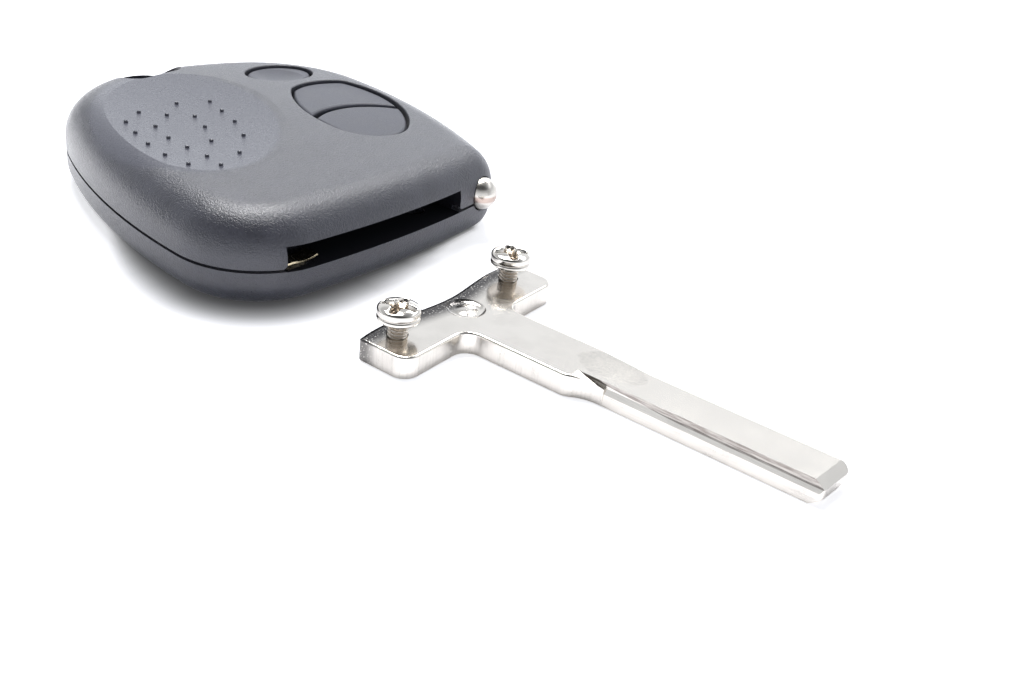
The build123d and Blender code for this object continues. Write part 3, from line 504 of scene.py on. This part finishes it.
def pan_head_screw(name, low, high, turn, pitch):
    """A screw between two corners of its box: one closed surface, turned about its upright axis.

    Its profile runs from the middle of the head's top out to its side as a flattened oval
    (r/R)^2.9 + (h/H)^2.2 = 1, down the side past a V-shaped line, in under the head, and down
    the shank to its point. The cross recess is subtracted from the top's height: with a the
    larger and b the smaller of the distances from its two middle lines, it is a depth that
    shrinks with a, times a soft wall in b, times a soft end in a, and a round well is added at
    its middle. The thread adds a flat-topped V wave to the shank's radius, whose phase is the
    height over the pitch plus the share of a turn.
    """
    around = 160
    outward, upward = 2.9, 2.2
    low, high = np.array(low), np.array(high)
    middle = (low + high) / 2
    radius = (high[0] - low[0]) / 2
    seat = high[2] - SEAT_DEPTH

    # The flat middle has even steps, and the oval's edge has even steps of its angle
    flat = np.linspace(0.01, 0.9, 70) * radius
    bend = np.linspace(math.asin(0.9 ** (outward / 2)), math.pi / 2, 15)[1:]
    top_r = np.concatenate([flat, radius * np.sin(bend) ** (2 / outward)])
    top_share = (1 - (top_r / radius).clip(0, 1) ** outward) ** (1 / upward)
    top_z = seat + SIDE_HEIGHT + OVAL_HEIGHT * top_share
    # Radius from the head's side, and height from its underside
    rim = np.array([
        (0, 1.0), (-0.02, 0.72), (-0.05, 0.66), (-0.14, 0.58), (-0.14, 0.54),
        (-0.04, 0.45), (0, 0.40), (0, 0.16), (-0.02, 0.08), (-0.08, 0.02),
        (-0.16, 0), (-0.9, 0), (-1.24, 0), (-1.3, -0.03), (-1.36, -0.10),
    ]) * MM
    shank_z = np.arange(seat - 0.14 * MM, low[2] + 0.3 * MM, -pitch / 9)
    # Radius from the axis, and height from the point
    tip = np.array([(1.02, 0.27), (1.0, 0.15), (0.9, 0.02), (0.8, 0.0), (0.4, 0.0)]) * MM
    rows = np.concatenate([
        np.stack([top_r, top_z], -1),
        rim + (radius, seat),
        np.stack([np.full_like(shank_z, CORE_RADIUS), shank_z], -1),
        tip + (0, low[2]),
    ])
    row = np.arange(len(rows))[:, None]
    shank_row = len(top_r) + len(rim)
    on_top = row < len(top_r)
    on_shank = (row >= shank_row) & (row < shank_row + len(shank_z))

    angle = np.linspace(0, 2 * math.pi, around, endpoint=False) + turn
    r, height = (np.repeat(column[:, None], around, 1) for column in rows.T)
    x, y = np.abs(r * np.cos(angle - turn)), np.abs(r * np.sin(angle - turn))
    a, b = np.maximum(x, y), np.minimum(x, y)
    wall = smooth((0.74 * MM - 0.08 * a - b) / (0.40 * MM))
    end = smooth((2.25 * MM - a) / (0.45 * MM))
    well = 1.25 * MM * smooth((1.15 * MM - r) / (0.5 * MM))
    sunk = on_top * np.maximum((1.15 * MM - 0.36 * a) * wall * end, well)
    height = height - sunk

    wave = np.abs(2 * np.mod(height / pitch + angle / (2 * math.pi), 1) - 1)
    crest = (1.5 * wave - 0.25).clip(0, 1)
    run_out = smooth((seat - 0.15 * MM - height) / (0.35 * MM))
    run_in = smooth((height - low[2] - 0.25 * MM) / (0.4 * MM))
    r = r + on_shank * run_out * run_in * THREAD_HEIGHT * crest

    points = np.stack([middle[0] + r * np.cos(angle), middle[1] + r * np.sin(angle), height], -1)
    poles = [(middle[0], middle[1], height[0].mean()), (middle[0], middle[1], low[2])]
    screw = closed_spindle(name, points, poles)
    # Darker and browner in the recess and the thread's grooves, and at the pole in the recess
    hollow_tint = np.maximum(smooth(sunk / (0.9 * MM)), on_shank * (0.9 - 0.5 * crest))
    store(screw, "hollow_tint", np.append(hollow_tint, [1.0, 0.0]))
    return screw


class KEY_OT_pin(bpy.types.Operator):
    """Finish the spring-loaded contact pin, with a painted reflection: a reddish band across its dome"""

    bl_idname = "key.pin"
    bl_label = "Contact pin"

    def execute(self, context):
        finish = context.scene.key_metal
        colour = [0.85 * part for part in finish.nickel]
        plate = plated_metal("pin_nickel", colour, 0.22, 0.004 * MM, painted_reflection_band=(5.7 * MM, 6.2 * MM))
        dress(plate, "contact_pin", "contact_pin_spring")
        return {"FINISHED"}


class KEY_OT_inside(bpy.types.Operator):
    """Finish the board, the cell and the contacts inside the case"""

    bl_idname = "key.inside"
    bl_label = "Inside"

    def execute(self, context):
        brass = plated_metal("tinned_brass", (0.74, 0.64, 0.44), 0.24, 0.004 * MM)
        dress(brass, "positive_contact", "negative_contact", "blade_contact", "pin_terminal")
        steel = plated_metal("cell_steel", (0.62, 0.62, 0.61), 0.3, 0.003 * MM)
        dress(steel, "coin_cell", "resonator_can")
        board = coated_board("solder_mask", (0.02, 0.11, 0.05), (0.05, 0.2, 0.09))
        dress(board, "circuit_board")
        copper = plated_metal("copper_track", (0.72, 0.42, 0.25), 0.3, 0.003 * MM)
        dress(copper, "antenna_loop")
        epoxy = moulded_plastic("chip_epoxy", (0.02, 0.02, 0.022), 0.45, 0.1 * MM, 0.006 * MM)
        dress(epoxy, "controller_chip", "chip_parts", "lock_switch", "unlock_switch", "boot_switch")
        nylon = moulded_plastic("plunger_nylon", (0.5, 0.44, 0.34), 0.4, 0.2 * MM, 0.004 * MM)
        dress(nylon, "lock_switch_plunger", "unlock_switch_plunger", "boot_switch_plunger")
        return {"FINISHED"}


class KEY_OT_studio(bpy.types.Operator):
    """Make the floor, the lamps, the world and the camera"""

    bl_idname = "key.studio"
    bl_label = "Studio"

    def execute(self, context):
        scene = context.scene
        make_floor()
        make_world(scene)
        make_lamps()
        make_camera(scene, scene.key_studio)
        scene.view_settings.view_transform = "Standard"
        return {"FINISHED"}


def make_floor():
    """A round white floor. It glows faintly, except close to the case, where a shadow is painted in:
    there the glow fades, and to the camera the paper is painted dark.

    Its rings are the case's foot pushed outwards by growing distances. The foot's outline is
    worked out from its reach along each direction: the reach times the direction, plus the
    reach's slope over the angle times the direction across it. The share of the glow, and of the
    paper's white to the camera, is a smooth step of the distance: a painted shadow, which reaches
    further on the camera's side of the case.
    """
    around = 192
    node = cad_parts["lower_shell"].data
    points = np.empty(len(node.vertices) * 3)
    node.vertices.foreach_get("co", points)
    points = points.reshape(-1, 3)
    foot = points[points[:, 2] < points[:, 2].min() + 0.2 * MM][:, :2]
    middle = (foot.min(0) + foot.max(0)) / 2
    angle = np.linspace(0, 2 * math.pi, around, endpoint=False)
    way = np.stack([np.cos(angle), np.sin(angle)], -1)
    across = np.stack([-way[:, 1], way[:, 0]], -1)
    reach = ((foot - middle) @ way.T).max(0)
    slope = (np.roll(reach, -1) - np.roll(reach, 1)) / (2 * (angle[1] - angle[0]))
    outline = middle + way * reach[:, None] + across * slope[:, None]
    away = np.array([0, 0.5, 1, 1.5, 2, 2.5, 3, 3.5, 4, 5, 6, 7, 8, 9, 11, 14, 20, 40, 3000]) * MM
    rings = outline[None] + way[None] * away[:, None, None]
    towards_camera = 0.75 * rings[:1, :, 0] - 0.66 * rings[:1, :, 1]
    spread = 1.5 * MM + 7.5 * MM * smooth((towards_camera - 8 * MM) / (18 * MM))
    share = 0.08 + 0.92 * smooth(away[:, None] / spread)
    flat = np.concatenate([rings, np.zeros((*rings.shape[:2], 1))], -1).reshape(-1, 3)
    floor = mesh_object("floor", flat, ring_faces(len(away), around) + [list(range(around))])
    # The painted shadow: the share of the glow and of the paper's white, 1 clear of it and 0.08 at the
    # case's foot
    store(floor, "clear_of_painted_shadow", share)
    floor.data.materials.append(floor_white())


def floor_white():
    """White paper with its glow, and a painted shadow near the case, where the glow fades and the camera
    sees the paper painted dark. What the key mirrors of it is brighter towards the left.
    """
    material, start = new_material("floor_white")
    eye = light_path(start, "Is Camera Ray")
    mirror = light_path(start, "Is Glossy Ray")
    glass = light_path(start, "Is Transmission Ray")
    clear_of_painted_shadow = attribute(start, "clear_of_painted_shadow")
    left = place_of(start)[0].ramp(-60 * MM, 30 * MM, 1.0, 0.0)
    white = noise(start, 40 * MM, 2.0).mix(rgb((0.87, 0.875, 0.91)), rgb((0.89, 0.895, 0.93)))
    # Painted shadow: to the camera the paper turns dark near the case
    paper_with_painted_shadow = (1 - eye * (1 - clear_of_painted_shadow)).mix(rgb((0.02, 0.02, 0.028)), white)
    paper = start.node("ShaderNodeBsdfDiffuse", None, {"Color": paper_with_painted_shadow, "Roughness": 1.0})
    # The glow fades in the painted shadow too
    strength = clear_of_painted_shadow * (eye * 0.6 + (mirror + glass) * (0.14 + left * 1.5))
    glow = start.node("ShaderNodeEmission", None, {"Color": (1, 1, 1, 1), "Strength": strength})
    show(start, start.node("ShaderNodeAddShader", None, {0: paper, 1: glow}))
    return material


def light_path(start, kind):
    """1 for rays of this kind, and 0 for others."""
    return start.node("ShaderNodeLightPath", None, None, kind)


def make_world(scene):
    """White to the camera. To the key it is a soft sky, whose light changes with how high it stands.

    The sky is bright near the floor's edge and dimmer above. Behind the key a brighter band lies
    at two thirds of the height, and the camera's side, the left and the right are darker.
    """
    world = bpy.data.worlds.new("studio")
    world.use_nodes = True
    world.node_tree.nodes.clear()
    start = Signal(world.node_tree)
    way = start.node("ShaderNodeTexCoord", None, None, "Generated")
    rise = start.node("ShaderNodeSeparateXYZ", None, {"Vector": way}, "Z")
    near = facing_way(start, way, (0.574, -0.819, 0.0))
    left = facing_way(start, way, (-0.95, -0.31, 0.0))
    right = facing_way(start, way, (0.68, 0.73, 0.0))
    back = facing_way(start, way, (0.25, 0.97, 0.0))
    camera_side = near.ramp(-0.2, 0.5) * rise.ramp(0.45, 0.75, 0.4, 0.9)
    left_side = left.ramp(0.6, 0.85) * rise.ramp(0.05, 0.42, 0.9, 0.1)
    right_side = right.ramp(0.5, 0.8) * rise.ramp(0.3, 0.6, 0.35, 0.0)
    level = rise.ramp(0.24, 0.37, 1.8, 1.05) * rise.ramp(0.50, 0.62, 1.0, 0.6)
    level = level * rise.ramp(0.75, 0.95, 1.0, 0.5)
    level = level + back.ramp(0.5, 0.65) * masked(rise, 0.62, 0.75, 0.05) * 1.1
    level = level * (1 - camera_side) * (1 - left_side) * (1 - right_side)
    sky = start.node("ShaderNodeBackground", None, {"Color": (0.92, 0.95, 1.0, 1), "Strength": level})
    white = start.node("ShaderNodeBackground", None, {"Color": (1, 1, 1, 1), "Strength": 1.0})
    eye = light_path(start, "Is Camera Ray")
    both = start.node("ShaderNodeMixShader", None, {0: eye, 1: sky, 2: white})
    start.node("ShaderNodeOutputWorld", None, {"Surface": both})
    scene.world = world


def facing_way(start, way, direction):
    """How closely a ray's way follows a direction: 1 along it, 0 across it, and -1 against it."""
    settings = {"operation": "DOT_PRODUCT"}
    return start.node("ShaderNodeVectorMath", settings, {0: way, 1: direction}, "Value")


def make_lamps():
    """One soft box almost overhead, and a wide low one behind the key."""
    aim = Vector((0.02, 0, 0))
    for name, way, distance, width, height, power in (
        ("overhead_lamp", (-0.34, 0.20, 0.92), 0.70, 0.32, 0.32, 5.8),
        ("rear_lamp", (-0.14, 0.70, 0.72), 0.80, 0.34, 0.18, 1.3),
    ):
        light = bpy.data.lights.new(name, "AREA")
        light.shape = "RECTANGLE"
        light.energy = power
        light.size = width
        light.size_y = height
        lamp = bpy.data.objects.new(name, light)
        lamp.location = aim + Vector(way).normalized() * distance
        lamp.rotation_euler = Vector(way).to_track_quat("Z", "Y").to_euler()
        bpy.context.scene.collection.objects.link(lamp)


def make_camera(scene, studio):
    """A camera at a turn and height round its target, rolled about its own line of sight."""
    a, e, r = studio.turn, studio.height, studio.tilt
    back = Vector((math.sin(a) * math.cos(e), -math.cos(a) * math.cos(e), math.sin(e)))
    level = Vector((math.cos(a), math.sin(a), 0))
    upright = back.cross(level)
    right = math.cos(r) * level + math.sin(r) * upright
    up = math.cos(r) * upright - math.sin(r) * level
    data = bpy.data.cameras.new("camera")
    data.sensor_width = 36
    data.lens = studio.lens
    data.clip_start = 0.005
    data.clip_end = 20
    camera = bpy.data.objects.new("camera", data)
    place = Matrix((right, up, back)).transposed().to_4x4()
    place.translation = Vector(studio.focus) + back * studio.distance
    camera.matrix_world = place
    scene.collection.objects.link(camera)
    scene.camera = camera


# Meshes


def ring_faces(rows, around):
    """Quads between neighbouring rows of closed rings, each with so many points."""
    row, step = np.meshgrid(np.arange(rows - 1), np.arange(around), indexing="ij")
    first, after = row * around, (step + 1) % around
    corners = (first + step, first + around + step, first + around + after, first + after)
    return np.stack(corners, -1).reshape(-1, 4).tolist()


def smooth(value):
    """A smooth step from 0 below 0 to 1 above 1."""
    value = np.clip(value, 0, 1)
    return value * value * (3 - 2 * value)


def closed_spindle(name, rings, poles):
    """A mesh of closed rings, one row of points each, whose two ends close in fans on their poles."""
    rows, around = rings.shape[:2]
    last = (rows - 1) * around
    step = np.arange(around)
    after = (step + 1) % around
    top, bottom = np.full(around, rows * around), np.full(around, rows * around + 1)
    start_fan = np.stack([top, step, after], -1).tolist()
    end_fan = np.stack([bottom, last + after, last + step], -1).tolist()
    points = np.concatenate([rings.reshape(-1, 3), np.array(poles)])
    return mesh_object(name, points, ring_faces(rows, around) + start_fan + end_fan)


def mesh_object(name, points, faces):
    """A mesh object at the origin from its points and faces."""
    mesh = bpy.data.meshes.new(name)
    mesh.from_pydata(points.tolist(), [], faces)
    mesh.polygons.foreach_set("use_smooth", [True] * len(mesh.polygons))
    mesh.update()
    made = bpy.data.objects.new(name, mesh)
    bpy.context.scene.collection.objects.link(made)
    return made


def store(made, name, values):
    """Store a number at each point of an object's mesh, for its material to read."""
    stored = made.data.attributes.new(name, "FLOAT", "POINT")
    stored.data.foreach_set("value", values.ravel())


# Panel, registration and run


class KEY_PT_panel(bpy.types.Panel):
    """The key's sizes and colours, and a button for each of its operators"""

    bl_idname = "KEY_PT_panel"
    bl_label = "Remote key"
    bl_space_type = "VIEW_3D"
    bl_region_type = "UI"
    bl_category = "Remote Key"

    def draw(self, context):
        for group in (context.scene.key_case, context.scene.key_metal, context.scene.key_studio):
            box = self.layout.box()
            for name in group.__annotations__:
                box.prop(group, name)
        for operator in operators:
            self.layout.operator(operator.bl_idname)


groups = {"key_case": CaseFinish, "key_metal": MetalFinish, "key_studio": Studio}
operators = (
    KEY_OT_case, KEY_OT_buttons, KEY_OT_blade, KEY_OT_screws, KEY_OT_pin, KEY_OT_inside, KEY_OT_studio,
)


def register():
    for cls in (*groups.values(), *operators, KEY_PT_panel):
        bpy.utils.register_class(cls)
    for name, group in groups.items():
        setattr(bpy.types.Scene, name, PointerProperty(type=group))


def unregister():
    for name in groups:
        delattr(bpy.types.Scene, name)
    for cls in reversed((*groups.values(), *operators, KEY_PT_panel)):
        bpy.utils.unregister_class(cls)


def main():
    register()
    bpy.ops.key.case()
    bpy.ops.key.buttons()
    bpy.ops.key.blade()
    bpy.ops.key.screws()
    bpy.ops.key.pin()
    bpy.ops.key.inside()
    bpy.ops.key.studio()


if __name__ == "__main__":
    main()
